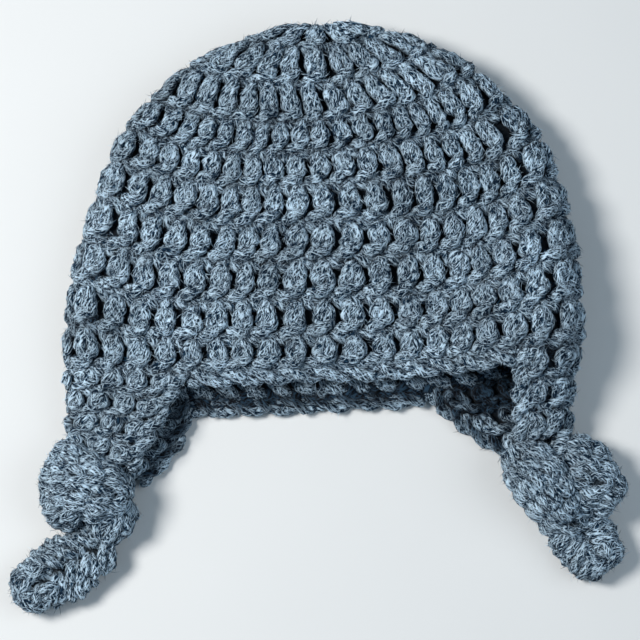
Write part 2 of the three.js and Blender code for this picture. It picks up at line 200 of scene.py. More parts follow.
def flapMiddle(flap, u, v):
    u, v = np.broadcast_arrays(np.asarray(u, float), np.asarray(v, float))
    start = capMiddle(flap["from"] + (flap["to"] - flap["from"]) * u, brimRound)
    end = flapNeck(flap, u)
    bend = (start + end) / 2
    firstShare = np.clip(1 - u, 0, None) ** 4  # the pushes fade fast from each free edge
    lastShare = np.clip(u, 0, None) ** 4
    for axis in range(2):
        push = flap["firstPush"][axis] * firstShare + flap["lastPush"][axis] * lastShare
        bend[..., axis] += push
    w = v[..., None]
    return start * (1 - w) ** 2 + bend * 2 * w * (1 - w) + end * w**2


def flapPlace(flap, u, v, h):
    inside = np.clip(u, 0.005, 0.995)
    own = facing(lambda a, b: flapMiddle(flap, a, b), inside, np.minimum(v, 0.98))
    turn = flap["from"] + (flap["to"] - flap["from"]) * u
    brim = facing(capMiddle, turn, np.full_like(u, brimRound))
    blend = ease(v / hatShape["flapBlend"])[..., None]
    normal = unit(brim * (1 - blend) + own * blend)
    return flapMiddle(flap, u, v) + normal * np.asarray(h)[..., None]


# one strand of yarn

yarnShape = {
    "radius": 1.66,       # of one strand, mm
    "twistLength": 10.0,  # one full turn of the three plies, mm
    "plyDepth": 0.075,
    "lumpDepth": 0.08,
    "lumpWaves": [0.9, 2.3],  # rad on a mm
    "roughDepth": 0.055,
    "endTaper": [0.45, 0.85],
    "hollowFrom": 0.1,    # height over the wall's middle where a strand lies in a hollow and takes the full painted shade, mm
    "hollowTo": 2.9,      # and where it is out in the open, with no painted shade
    "rootsPerSquare": 1.3,  # places where a loose fibre may start, on a square mm of yarn
}
hairRoots = []


# piles of corners and faces that become one mesh; fuzz is the share of its fibre places
def newPile(fuzz=1.0):
    return {"corners": [], "places": [], "quads": [], "caps": [], "depths": [], "count": 0,
            "roots": [], "fuzz": fuzz}


def addToPile(pile, corners, places, quads, caps=(), depths=0.0):
    corners = corners.reshape(-1, 3)
    pile["corners"].append(corners)
    pile["places"].append(places.reshape(-1, 3))
    pile["depths"].append(np.broadcast_to(depths, len(corners)))
    if len(quads):
        pile["quads"].append(np.asarray(quads) + pile["count"])
    for cap in caps:
        pile["caps"].append(np.asarray(cap) + pile["count"])
    pile["count"] += len(corners)


def runLength(points):
    steps = np.linalg.norm(np.diff(points, axis=0), axis=1)
    return np.concatenate([[0.0], np.cumsum(steps)])


def valuesAt(at, length, rows):
    return np.stack([np.interp(at, length, rows[:, c]) for c in range(3)], -1)


# a frame that turns as little as it can along the strand
def strandFrame(points, closed):
    if closed:
        ahead = np.roll(points, -1, axis=0)
        behind = np.roll(points, 1, axis=0)
    else:
        ahead = np.vstack([points[1:], 2 * points[-1:] - points[-2:-1]])
        behind = np.vstack([2 * points[:1] - points[1:2], points[:-1]])
    along = unit(ahead - behind)
    side = np.empty_like(along)
    current = np.cross(along[0], [0.0, 0.0, 1.0])
    if np.linalg.norm(current) < 0.1:
        current = np.cross(along[0], [1.0, 0.0, 0.0])
    for i in range(len(points)):
        a = along[i]
        current = current - a * (current[0] * a[0] + current[1] * a[1] + current[2] * a[2])
        current = current / math.sqrt(current[0] ** 2 + current[1] ** 2 + current[2] ** 2)
        side[i] = current
    if closed:  # share out the leftover turn so that the last ring meets the first
        end = side[-1] - along[0] * side[-1].dot(along[0])
        angle = math.atan2(np.cross(end, side[0]).dot(along[0]), end.dot(side[0]))
        turn = (angle * np.arange(len(points)) / len(points))[:, None]
        side = side * np.cos(turn) + np.cross(along, side) * np.sin(turn)
    return side, np.cross(along, side)


# numbers of the corners in rows; a wrapped row or a closed grid comes back to its start
def cornerGrid(rows, columns, wrap=True, closed=False):
    grid = np.arange(rows * columns).reshape(rows, columns)
    grid = np.hstack([grid, grid[:, :1]]) if wrap else grid
    return np.vstack([grid, grid[:1]]) if closed else grid


def gridFaces(grid):
    corners = [grid[:-1, :-1], grid[:-1, 1:], grid[1:, 1:], grid[1:, :-1]]
    return np.stack(corners, -1).reshape(-1, 4)


# a yarn strand swept along points; places say where each corner sits on the yarn
def addStrand(pile, points, radius, sides, closed, rng, out, height):
    count = len(points)
    side, up = strandFrame(points, closed)
    length = runLength(points)
    size = np.broadcast_to(np.asarray(radius, float), (count,)).copy()
    lumps = rng.uniform(0, 2 * np.pi, 3)
    slow, quick = yarnShape["lumpWaves"]
    size *= 1 + yarnShape["lumpDepth"] * (
        np.sin(length * slow + lumps[0]) * 0.6 + np.sin(length * quick + lumps[1]) * 0.5
    )
    if not closed:
        ends = np.minimum(np.arange(count), np.arange(count)[::-1])
        tip, shoulder = yarnShape["endTaper"]
        size *= np.where(ends == 0, tip, np.where(ends == 1, shoulder, 1.0))
    angle = np.arange(sides) / sides * 2 * np.pi
    twist = 2 * np.pi / yarnShape["twistLength"]
    fibre = angle[None, :] - twist * length[:, None]
    rough = rng.normal(0, yarnShape["roughDepth"], fibre.shape)
    ring = size[:, None] * (1 + yarnShape["plyDepth"] * np.cos(3 * fibre + lumps[2]) + rough)
    cosine, sine = np.cos(angle), np.sin(angle)
    corners = points[:, None] + side[:, None] * (ring * cosine)[..., None]
    corners = corners + up[:, None] * (ring * sine)[..., None]
    rise = np.sum(side * out, axis=1)[:, None] * cosine + np.sum(up * out, axis=1)[:, None] * sine
    # painted shade: the lower a corner lies in the wall, the less open it is and the darker the
    # material paints it
    low, high = yarnShape["hollowFrom"], yarnShape["hollowTo"]
    depths = ease((np.asarray(height)[:, None] + ring * rise - low) / (high - low))
    onBall = np.broadcast_to(length[:, None] + rng.uniform(0, 400), fibre.shape)
    fibreY, fibreZ = size[:, None] * np.cos(fibre), size[:, None] * np.sin(fibre)
    places = np.stack([onBall, fibreY, fibreZ], -1)
    quads = gridFaces(cornerGrid(count, sides, closed=closed))
    caps = [] if closed else [np.arange(sides)[::-1], (count - 1) * sides + np.arange(sides)]
    addToPile(pile, corners, places, quads, caps, depths.reshape(-1))
    # where loose fibres may grow: place, way out, way along and openness
    area = length[-1] * np.mean(size) * 2 * np.pi
    wanted = rng.poisson(area * yarnShape["rootsPerSquare"] * pile["fuzz"])
    ringAt = rng.integers(1, count - 1, wanted)
    sideAt = rng.integers(0, sides, wanted)
    mixed = rng.uniform(0, 1, (wanted, 1))
    foot = corners[ringAt, sideAt] * mixed + corners[ringAt - 1, sideAt] * (1 - mixed)
    outWay = unit(corners[ringAt, sideAt] - points[ringAt])
    alongWay = unit(points[ringAt + 1] - points[ringAt - 1])
    pile["roots"].append(np.hstack([foot, outWay, alongWay, depths[ringAt, sideAt][:, None]]))


# rounded curve through control points, in any coordinates
def throughPoints(controls, perSpan, before=None, after=None):
    if before is None:
        before = 2 * controls[:1] - controls[1:2]
    if after is None:
        after = 2 * controls[-1:] - controls[-2:-1]
    padded = np.vstack([before, controls, after])
    spans = len(padded) - 3
    f = (np.arange(perSpan) / perSpan)[None, :, None]
    p, q = padded[0:spans, None, :], padded[1:spans + 1, None, :]
    r, t = padded[2:spans + 2, None, :], padded[3:spans + 3, None, :]
    curve = (2 * p - 5 * q + 4 * r - t) * f**2 + (3 * q - p - 3 * r + t) * f**3
    curve = 0.5 * (2 * q + (r - p) * f + curve)
    return curve.reshape(-1, controls.shape[1])


def makePiece(name, pile, material, nodes):
    corners = np.vstack(pile["corners"])
    # the under side rests on the floor: strands flatten softly in their last half millimetre
    z = corners[:, 2]
    soft = 0.5
    corners[:, 2] = np.where(z < soft, soft * np.exp(np.minimum(z - soft, 0) / soft), z)
    corners = corners * milli
    places = np.vstack(pile["places"])
    quads = np.vstack([np.zeros((0, 4), int)] + pile["quads"])
    capLoops = np.concatenate([np.zeros(0, int)] + pile["caps"])
    capSizes = np.array([len(cap) for cap in pile["caps"]], int)
    hairRoots.extend(pile["roots"])
    capStarts = len(quads) * 4 + np.cumsum(capSizes) - capSizes
    starts = np.concatenate([np.arange(len(quads)) * 4, capStarts])
    loops = np.concatenate([quads.reshape(-1), capLoops])
    mesh = bpy.data.meshes.new(name)
    mesh.vertices.add(len(corners))
    mesh.vertices.foreach_set("co", corners.astype(np.float32).reshape(-1))
    mesh.loops.add(len(loops))
    mesh.loops.foreach_set("vertex_index", loops.astype(np.int32))
    mesh.polygons.add(len(starts))
    mesh.polygons.foreach_set("loop_start", starts.astype(np.int32))
    mesh.polygons.foreach_set("use_smooth", np.ones(len(starts), bool))
    spot = mesh.attributes.new("yarnPlace", "FLOAT_VECTOR", "POINT")
    spot.data.foreach_set("vector", places.astype(np.float32).reshape(-1))
    # how open each corner lies, which the material turns into painted shade
    openness = mesh.attributes.new("yarnOpen", "FLOAT", "POINT")
    openness.data.foreach_set("value", np.concatenate(pile["depths"]).astype(np.float32))
    mesh.update(calc_edges=True)
    mesh.validate()
    mesh.materials.append(material)
    piece = bpy.data.objects.new(name, mesh)
    bpy.context.collection.objects.link(piece)
    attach(piece, "root")
    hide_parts(*nodes)
    triangles = len(quads) * 2 + int(np.sum(capSizes - 2))
    print("made", name, "with", triangles, "triangles")


# the yarn's heather: dark, middle and light hairs spun together, with painted shade in the hollows

yarnLook = {
    "dark": (0.002, 0.012, 0.027),
    "middle": (0.014, 0.060, 0.118),
    "light": (0.515, 0.665, 0.785),
    "paintedHollowShade": (0.040, 0.072, 0.102, 1.0),  # painted shade: the tint of the yarn deep in a hollow
    "fleckLength": 2.0,   # mm along the yarn
    "fleckWidth": 0.39,   # mm across it
    "crossings": [0.12, 0.60, 1.15],  # how much each set of hairs turns, rad on a mm
    "darkSteps": [(0.50, 0.44), (0.46, 0.40)],  # noise between which a set turns dark
    "lightSteps": [(0.53, 0.59), (0.57, 0.63), (0.57, 0.63)],  # and light
    "patchScale": 55.0,
    "patchiness": 0.28,
    "bumpHeight": 0.00060,
    "bumpStrength": 0.8,
    "roughness": 0.95,
    "specular": 0.10,
    "sheen": 0.04,
    "sheenRoughness": 0.6,
}


# inputs are values to set or sockets to link
def setInputs(tree, node, inputs):
    for name, value in inputs.items():
        if isinstance(value, bpy.types.NodeSocket):
            tree.links.new(value, node.inputs[name])
        else:
            node.inputs[name].default_value = value
    return node


def addNode(tree, kind, inputs, **settings):
    node = tree.nodes.new(kind)
    for name, value in settings.items():
        setattr(node, name, value)
    return setInputs(tree, node, inputs)


def twoOf(tree, operation, first, second):
    return addNode(tree, "ShaderNodeMath", {0: first, 1: second}, operation=operation).outputs[0]


def colourMix(tree, factor, first, second, blend="MIX"):
    node = addNode(tree, "ShaderNodeMix", {}, data_type="RGBA", blend_type=blend)
    setInputs(tree, node, {"Factor": factor, "A": first, "B": second})
    return node.outputs["Result"]


# one set of hairs: streaks along the yarn, turned round it by some angle on each millimetre
def hairSet(tree, place, stretch, crossing):
    parted = addNode(tree, "ShaderNodeSeparateXYZ", {"Vector": place})
    angle = twoOf(tree, "MULTIPLY", parted.outputs["X"], crossing)
    turned = addNode(tree, "ShaderNodeVectorRotate", {"Vector": place, "Angle": angle},
                     rotation_type="X_AXIS")
    placed = addNode(tree, "ShaderNodeVectorMath", {0: turned.outputs["Vector"], 1: stretch},
                     operation="MULTIPLY")
    streak = addNode(tree, "ShaderNodeTexNoise", {
        "Vector": placed.outputs["Vector"], "Scale": 1.0,
        "Detail": 1.0, "Roughness": 0.6, "Distortion": 0.25,
    })
    return streak.outputs["Fac"]


# where any of the sets lies beyond its own steps
def anyOf(tree, sets, steps):
    found = None
    for streak, (low, high) in zip(sets, steps):
        step = addNode(tree, "ShaderNodeMapRange", {
            "Value": streak, "From Min": low, "From Max": high,
        }, interpolation_type="SMOOTHSTEP")
        mask = step.outputs["Result"]
        found = mask if found is None else twoOf(tree, "MAXIMUM", found, mask)
    return found


def heatherGroup():
    group = bpy.data.node_groups.new("heatherFleck", "ShaderNodeTree")
    for name in ("Yarn Place", "Patch Place"):
        group.interface.new_socket(name, in_out="INPUT", socket_type="NodeSocketVector")
    for name in ("Dark", "Middle", "Light", "Hollow Shade"):
        group.interface.new_socket(name, in_out="INPUT", socket_type="NodeSocketColor")
    for name in ("Along", "Across", "Patchiness", "Openness"):
        group.interface.new_socket(name, in_out="INPUT", socket_type="NodeSocketFloat")
    group.interface.new_socket("Color", in_out="OUTPUT", socket_type="NodeSocketColor")
    group.interface.new_socket("Height", in_out="OUTPUT", socket_type="NodeSocketFloat")
    given = group.nodes.new("NodeGroupInput").outputs
    stretch = addNode(group, "ShaderNodeCombineXYZ", {
        "X": given["Along"], "Y": given["Across"], "Z": given["Across"],
    }).outputs["Vector"]
    sets = []
    for crossing in yarnLook["crossings"]:
        sets.append(hairSet(group, given["Yarn Place"], stretch, crossing))
    dark = anyOf(group, sets, yarnLook["darkSteps"])
    light = anyOf(group, sets, yarnLook["lightSteps"])
    colour = colourMix(group, dark, given["Middle"], given["Dark"])
    colour = colourMix(group, light, colour, given["Light"])  # the light hairs lie on top
    patch = addNode(group, "ShaderNodeTexNoise", {  # slow random changes of brightness over the hat, partly the yarn's own and partly painted broad shading
        "Vector": given["Patch Place"], "Scale": yarnLook["patchScale"], "Detail": 2.0,
    })
    centred = twoOf(group, "SUBTRACT", patch.outputs["Fac"], 0.5)
    strong = twoOf(group, "MULTIPLY", given["Patchiness"], 4.0)
    amount = twoOf(group, "ADD", twoOf(group, "MULTIPLY", centred, strong), 1.0)
    shade = addNode(group, "ShaderNodeVectorMath", {}, operation="SCALE")
    setInputs(group, shade, {0: colour, "Scale": amount})
    # painted shade: bluer and darker between the stitches
    paintedShadeAmount = twoOf(group, "SUBTRACT", 1.0, given["Openness"])
    paintedShadeColour = colourMix(group, paintedShadeAmount, shade.outputs["Vector"], given["Hollow Shade"], "MULTIPLY")
    height = twoOf(group, "SUBTRACT", light, dark)
    addNode(group, "NodeGroupOutput", {"Color": paintedShadeColour, "Height": height})
    return group


heatherFleck = heatherGroup()


def yarnMaterial(name, tone):
    material = bpy.data.materials.new(name)
    material.use_nodes = True
    tree = material.node_tree
    place = addNode(tree, "ShaderNodeAttribute", {}, attribute_name="yarnPlace")
    openness = addNode(tree, "ShaderNodeAttribute", {}, attribute_name="yarnOpen")
    where = addNode(tree, "ShaderNodeTexCoord", {})
    hairs = {
        "Yarn Place": place.outputs["Vector"],
        "Patch Place": where.outputs["Object"],
        "Openness": openness.outputs["Fac"],
        "Along": 1 / yarnLook["fleckLength"],
        "Across": 1 / yarnLook["fleckWidth"],
        "Patchiness": yarnLook["patchiness"],
        "Hollow Shade": yarnLook["paintedHollowShade"],
    }
    for shadeName in ("Dark", "Middle", "Light"):
        r, g, b = yarnLook[shadeName.lower()]
        hairs[shadeName] = (r * tone, g * tone, b * tone, 1.0)
    heather = addNode(tree, "ShaderNodeGroup", hairs, node_tree=heatherFleck)
    bump = addNode(tree, "ShaderNodeBump", {
        "Height": heather.outputs["Height"],
        "Strength": yarnLook["bumpStrength"],
        "Distance": yarnLook["bumpHeight"],
    })
    setInputs(tree, tree.nodes["Principled BSDF"], {
        "Base Color": heather.outputs["Color"],
        "Normal": bump.outputs["Normal"],
        "Roughness": yarnLook["roughness"],
        "Specular IOR Level": yarnLook["specular"],
        "Sheen Weight": yarnLook["sheen"],
        "Sheen Roughness": yarnLook["sheenRoughness"],
    })
    return material


heatherYarn = yarnMaterial("heatherYarn", 1.0)
# a darker copy of the yarn for the cores: painted shade behind and between the stitches
shadedYarn = yarnMaterial("shadedYarn", 0.6)
# a lighter copy of the yarn for the loose fibres: painted light catching them
fibreYarn = yarnMaterial("fibreYarn", 1.25)
print("yarn materials made")


# One half double crochet: along the row and down it in stitches, and out of the wall in mm.
# The strand comes up from behind, slants along the foot, climbs the right of the post,
# arches over, comes down the left and goes back behind.
postPath = np.array([
    [-0.17, 0.92, -0.5], [0.00, 0.91, 0.6], [0.19, 0.87, 1.4], [0.42, 0.80, 1.8],
    [0.63, 0.70, 1.9], [0.73, 0.56, 1.8], [0.69, 0.39, 2.1], [0.60, 0.24, 1.8],
    [0.50, 0.14, 1.2], [0.39, 0.23, 1.7], [0.30, 0.39, 2.1], [0.29, 0.55, 1.7],
    [0.39, 0.66, 1.1], [0.52, 0.68, 0.2], [0.64, 0.79, -0.8], [0.74, 0.90, -1.0],
])
# the loop of the round above, which shows between two posts
topPath = np.array([
    [-0.20, 0.03, 0.2], [-0.04, 0.10, 0.85], [0.12, 0.19, 0.5], [0.34, 0.18, -0.6],
    [0.62, 0.05, -0.6],
])
# the shorter stitches of the flaps
shortPath = np.array([
    [-0.17, 0.93, -0.5], [0.00, 0.92, 0.6], [0.20, 0.88, 1.3], [0.44, 0.80, 1.6],
    [0.65, 0.70, 1.6], [0.77, 0.55, 1.6], [0.75, 0.40, 1.7], [0.64, 0.28, 1.5],
    [0.49, 0.23, 1.3], [0.34, 0.29, 1.5], [0.26, 0.42, 1.7], [0.30, 0.57, 1.5],
    [0.41, 0.67, 1.0], [0.55, 0.73, 0.1], [0.66, 0.82, -0.7], [0.75, 0.91, -0.9],
])
# the strand that stands up through the middle of a post and fills it
fillPath = np.array([
    [0.54, 0.06, -0.4], [0.53, 0.15, 1.4], [0.51, 0.30, 2.3], [0.49, 0.46, 2.3],
    [0.45, 0.62, 1.6], [0.40, 0.75, 0.3],
])

capStitches = {
    "counts": [10, 20, 30, 40, 40, 40, 40, 40, 40, 40],
    "phases": [0.2, 0.5, 0.1, 0.3, 0.62, 0.62, 0.63, 0.60, 0.57, 0.55],
    "crownStart": 0.24,
    "unevenness": 0.034,  # in widths of a stitch
    "fullPitch": 7.6,     # width of a stitch that takes the yarn's full radius, mm
    "barShare": 0.95,
    "fillShare": 0.8,
    "footSwell": 0.24,
    "tallRounds": 3,      # next to the crown the stitches stand taller and lean
    "tallRows": [[-0.2, 0.0, 0.17, 0.66, 0.92, 1.2], [-0.2, -0.02, 0.11, 0.79, 0.97, 1.2]],
    "tallLean": 0.42,
    "paintedShadeRounds": 4,      # and take darker painted shade between them
    "crownPaintedShade": 0.35,  # mm taken off the height that sets the painted shade
    "insideRounds": 4,
    "insideFuzz": 0.2,    # share of the loose fibres
    "insidePaintedShade": (0.4, 0.9),  # painted shade depth, mm, and so much more for each round from the brim
    "drift": [(11.9, 0.2), (6.9, -0.28)],  # stitches along the round, and shift there
    "seed": 11,
}


# copies of one stitch; each leans, grows and wanders a little
def rowControls(path, count, rng, wobble):
    stitches = []
    for n in range(count):
        lean = rng.normal(0, wobble * 1.2)
        grow = 1 + rng.normal(0, wobble * 1.6)
        stitch = path.copy()
        stitch[:, 0] = 0.5 + (stitch[:, 0] - 0.5) * grow + lean * (0.8 - stitch[:, 1])
        stitch[:, :2] += rng.normal(0, wobble, (len(path), 2))
        stitch[:, 2] += rng.normal(0, wobble * 4, len(path))
        stitch[:, 0] += n
        stitches.append(stitch)
    return np.vstack(stitches)


fillUneven = {"lean": (-0.18, 0.16), "side": (0, 0.04), "height": (0.12, 0.22)}  # middle, spread


def fillLines(count, rng):
    lines = []
    for n in range(count):
        line = throughPoints(fillPath, 2)
        lean = rng.normal(*fillUneven["lean"])
        line[:, 0] += n + rng.normal(*fillUneven["side"]) + lean * (line[:, 1] - 0.45)
        line[:, 2] += rng.normal(*fillUneven["height"])
        lines.append(line)
    return lines


# stitches in the photograph are a little wider right of the middle than left of it
def capTurn(x, k):
    turn = (capStitches["phases"][k] - x) / capStitches["counts"][k]
    full = max(capStitches["counts"])
    place = (turn - np.floor(turn)) * full
    drift = sum(by * np.exp(-((place - at) / 3) ** 2) for at, by in capStitches["drift"])
    return turn + drift / full


def onCap(line, k, face):
    start = capStitches["crownStart"] if k == 0 else 0.0
    s = np.maximum(k + start + (1 - start) * line[:, 1], 0.03)
    t = capTurn(line[:, 0], k)
    out = facing(capMiddle, t, s) * face
    return capMiddle(t, s) + out * line[:, 2:3], out


def standTall(line, k):
    if k < capStitches["tallRounds"]:
        line[:, 1] = np.interp(line[:, 1], *capStitches["tallRows"])
        line[:, 0] += capStitches["tallLean"] * (line[:, 1] - 0.5)
    return line


def capRound(pile, k, face, layers, rng):
    count = capStitches["counts"][k]
    ring = capMiddle(np.linspace(0, 1, 80), np.full(80, k + 0.55))
    pitch = np.sum(np.linalg.norm(np.diff(ring, axis=0), axis=1)) / count
    radius = yarnShape["radius"] * min((pitch / capStitches["fullPitch"]) ** 0.6, 1.05)
    around = np.array([[count, 0.0, 0.0]])
    for path, share, span, sides in layers:
        controls = standTall(rowControls(path, count, rng, capStitches["unevenness"]), k)
        line = throughPoints(
            np.vstack([controls, controls[:1] + around]), span,
            before=controls[-1:] - around, after=controls[1:2] + around,
        )
        if face < 0:
            line[:, 2] = np.maximum(line[:, 2], 0.5)
        points, out = onCap(line, k, face)
        height = line[:, 2]
        if face < 0:  # painted shade: the inside is darker the deeper it lies
            deeper, more = capStitches["insidePaintedShade"]
            height = height - deeper - more * (brimRound - k - line[:, 1])
        # painted shade: near the crown the hollows are painted darker
        elif k < capStitches["paintedShadeRounds"]:
            height = height - capStitches["crownPaintedShade"]
        swell = ease((line[:, 1] - 0.70) / 0.1) * ease((line[:, 2] - 0.3) / 0.8)
        fat = 1 + capStitches["footSwell"] * swell
        addStrand(pile, points, radius * share * fat, sides, True, rng, out, height)
    if face < 0:
        return
    # the bar of yarn that the row is worked over, which closes the space under the feet
    bends = count * 5
    bar = np.stack([np.arange(bends) / 5, 0.985 + rng.normal(0, 0.012, bends),
                    rng.normal(0.25, 0.3, bends)], 1)
    points, out = onCap(bar, k, face)
    addStrand(pile, points, radius * capStitches["barShare"], 7, True, rng, out, bar[:, 2])
    for line in fillLines(count, rng):
        points, out = onCap(standTall(line, k), k, face)
        addStrand(pile, points, radius * capStitches["fillShare"], 6, False, rng, out, line[:, 2])


# for each strand: its path, its share of the radius, and its steps and sides
outerLayers = [(postPath, 1.0, 3, 8), (topPath, 0.92, 2, 7)]
innerLayers = [(postPath, 1.0, 2, 6), (topPath, 0.92, 2, 6)]
flapLayers = [(shortPath, 1.0, 3, 8), (topPath, 0.95, 2, 7)]

capBands = [("capStitchesCrown", range(0, 4)), ("capStitchesMiddle", range(4, 7)),
            ("capStitchesBrim", range(7, 10))]
for bandName, band in capBands:
    pile = newPile()
    for k in band:
        capRound(pile, k, 1.0, outerLayers, np.random.default_rng(capStitches["seed"] + k))
    makePiece(bandName, pile, heatherYarn, ["cap"])
pile = newPile(capStitches["insideFuzz"])
for k in range(10 - capStitches["insideRounds"], 10):
    capRound(pile, k, -1.0, innerLayers, np.random.default_rng(capStitches["seed"] + 50 + k))
makePiece("capInsideStitches", pile, heatherYarn, ["cap"])


# the packed fibres behind the stitches: a thin closed layer in the middle of the wall, in darker
# yarn with the full hollow tint as painted shade
def addSheet(pile, outer, inner, wrap, reach):
    grid = cornerGrid(*outer.shape[:2], wrap)
    faces = gridFaces(grid)
    back = outer.shape[0] * outer.shape[1]
    quads = [faces, faces[:, [1, 0, 3, 2]] + back]
    edges = [(grid[-1, :-1], grid[-1, 1:]), (grid[0, 1:], grid[0, :-1])]
    if not wrap:
        edges += [(grid[:-1, 0], grid[1:, 0]), (grid[1:, -1], grid[:-1, -1])]
    for a, b in edges:
        quads.append(np.stack([a, b, b + back, a + back], -1))
    addToPile(pile, np.stack([outer, inner]), np.stack([reach, reach + 37.0]), np.vstack(quads))


capCore = {
    "corners": [84, 34],  # round the hat, and from crown to brim
    "rounds": [0.12, 9.86],
    "face": -0.35,        # mm from the middle of the wall
    "thick": 0.85,        # to its inner face, mm
    "crownThicker": 1.75,
}


def makeCapCore():
    turnCount, roundCount = capCore["corners"]
    rounds = np.linspace(*capCore["rounds"], roundCount)
    turns, rounds = np.meshgrid(np.arange(turnCount) / turnCount, rounds)
    outer = capPlace(turns, rounds, np.full(turns.shape, capCore["face"]))
    depth = capCore["thick"] + capCore["crownThicker"] * ease((5.2 - rounds) / 1.2)
    reach = np.stack([turns * 300, rounds * 11.6, turns * 0], -1)
    pile = newPile()
    addSheet(pile, outer, capPlace(turns, rounds, -depth), True, reach)
    makePiece("capCore", pile, shadedYarn, ["cap"])


makeCapCore()
print("cap made")


# the braided edging along the brim

edgingBraid = {
    "rope": (17.2, 1.55, 1.5),  # one turn of its two strands, half width and yarn radius, mm
    "out": 2.5,           # from the brim to the middle of the braid
    "coreRadius": 1.2,
    "closing": (0.7, 1.4),  # place and radius of the strand that closes the space to the brim
    "freeTurn": 0.006,    # left next to a flap
    "seed": 31,
}


# two strands laid round each other, which show as slanting loops along the edge
def addRope(pile, path, outward, look, rng):
    twist, reach, radius = look
    length = runLength(path)
    count = max(int(length[-1] / 0.75), 12)
    at = np.linspace(0, length[-1], count)
    spot = valuesAt(at, length, path)
    out = unit(valuesAt(at, length, outward))
    across = unit(np.cross(out, unit(np.gradient(spot, axis=0))))
    knots = np.arange(0, length[-1] + 8, 4.0)
    sway = np.interp(at, knots, rng.normal(0, 0.35, len(knots)))
    for phase in (0.0, math.pi):
        angle = 2 * math.pi * at / twist + phase + sway
        wide = reach * (1 + 0.12 * np.sin(at * 0.8 + phase))
        rise = np.sin(angle) * wide * 0.8
        points = spot + across * (np.cos(angle) * wide)[:, None] + out * rise[:, None]
        fat = radius * (1 + 0.16 * np.sin(angle))
        addStrand(pile, points, fat, 10, False, rng, out, rise + 2.8)


def makeEdging(name, node, fromTurn, toTurn, rng):
    count = 90
    free = edgingBraid["freeTurn"]
    t = np.linspace(fromTurn + free, toTurn - free, count)
    lip = capMiddle(t, np.full(count, brimRound))
    away = unit(lip - capMiddle(t, np.full(count, 9.9)))
    out = facing(capMiddle, t, np.full(count, brimRound))
    path = lip + away * edgingBraid["out"]
    faceWay = unit(out * 0.9 + away * 0.35)
    pile = newPile()
    addRope(pile, path, faceWay, edgingBraid["rope"], rng)
    addStrand(pile, path, edgingBraid["coreRadius"], 8, False, rng, faceWay, np.zeros(count))
    step, thick = edgingBraid["closing"]
    addStrand(pile, lip + away * step, thick, 8, False, rng, faceWay, np.full(count, 0.2))
    makePiece(name, pile, heatherYarn, [node])


edgingRandom = np.random.default_rng(edgingBraid["seed"])
makeEdging("frontEdgingBraid", "front_edging", rightFlap["to"], leftFlap["from"], edgingRandom)
makeEdging("backEdgingBraid", "back_edging", leftFlap["to"], rightFlap["from"] + 1, edgingRandom)
print("edging made")


# the ear flaps, each in short rounds that get narrower toward the strap

flapStitches = {
    "left": [9, 8, 7, 6],
    "right": [8, 7, 6],
    "unevenness": 0.03,
    "share": 0.92,        # radius of the strands, against the yarn's
    "fillShare": 0.74,
    "mouthPaintedShade": 4.2,   # painted shade: mm that darken the side under the upper layer
    "rope": (14.5, 1.5, 1.6),
    "coreFace": 0.6,      # mm from the middle of the wall
    "seed": 51,
}


def makeFlap(name, node, flap, counts, rng):
    pile = newPile()

    def place(u, v, h):
        return flapPlace(flap, u, v, np.broadcast_to(h, u.shape))

    for k, count in enumerate(counts):
        for face in (1.0, -1.0):
            for path, share, span, sides in flapLayers:
                controls = rowControls(path, count, rng, flapStitches["unevenness"])
                controls = controls[(controls[:, 0] > 0.02) & (controls[:, 0] < count - 0.02)]
                line = throughPoints(controls, span)
                line[:, 2] = np.maximum(line[:, 2], 0.2)
                u = 1 - line[:, 0] / count
                v = (k + line[:, 1]) / len(counts)
                points = place(u, v, line[:, 2] * face)
                out = (place(u, v, 1.0) - place(u, v, 0.0)) * face
                size = yarnShape["radius"] * flapStitches["share"] * share
                height = line[:, 2]
                if face < 0:  # painted shade: darker near the mouth, where the upper layer hangs over it
                    fromEdge = 0.5 + 0.5 * ease(np.minimum(u, 1 - u) / 0.3)
                    height = height - flapStitches["mouthPaintedShade"] * (1 - ease(v / 0.9)) * fromEdge
                addStrand(pile, points, size, sides, False, rng, out, height)
        size = yarnShape["radius"] * flapStitches["fillShare"]
        for line in fillLines(count, rng):
            u = 1 - line[:, 0] / count
            v = (k + 0.04 + line[:, 1]) / len(counts)
            points = place(u, v, line[:, 2])
            out = place(u, v, line[:, 2] + 1.0) - points
            addStrand(pile, points, size, 6, False, rng, out, line[:, 2])
    # a firm rope down each free edge
    v = np.linspace(0.0, 1.0, 40)
    for edge in (0.0, 1.0):
        u = np.full(40, edge)
        path = place(u, v, 0.3)
        away = unit(path - place(np.abs(u - 0.06), v, 0.3))
        out = unit(place(u, v, 1.3) - path)
        addRope(pile, path, out, flapStitches["rope"], rng)
    makePiece(name + "Stitches", pile, heatherYarn, [node])
    u, v = np.meshgrid(np.linspace(0.02, 0.98, 34), np.linspace(0.01, 0.99, 14))
    face = flapStitches["coreFace"]
    pile = newPile()
    addSheet(pile, place(u, v, face), place(u, v, -face), False,
             np.stack([u * 60, v * 30, u * 0], -1))
    makePiece(name + "Core", pile, shadedYarn, [node])


flapRandom = np.random.default_rng(flapStitches["seed"])
makeFlap("leftFlap", "left_ear_flap", leftFlap, flapStitches["left"], flapRandom)
makeFlap("rightFlap", "right_ear_flap", rightFlap, flapStitches["right"], flapRandom)
print("ear flaps made")


# the knots: fat turns of the strap, each wrapped in braided strands

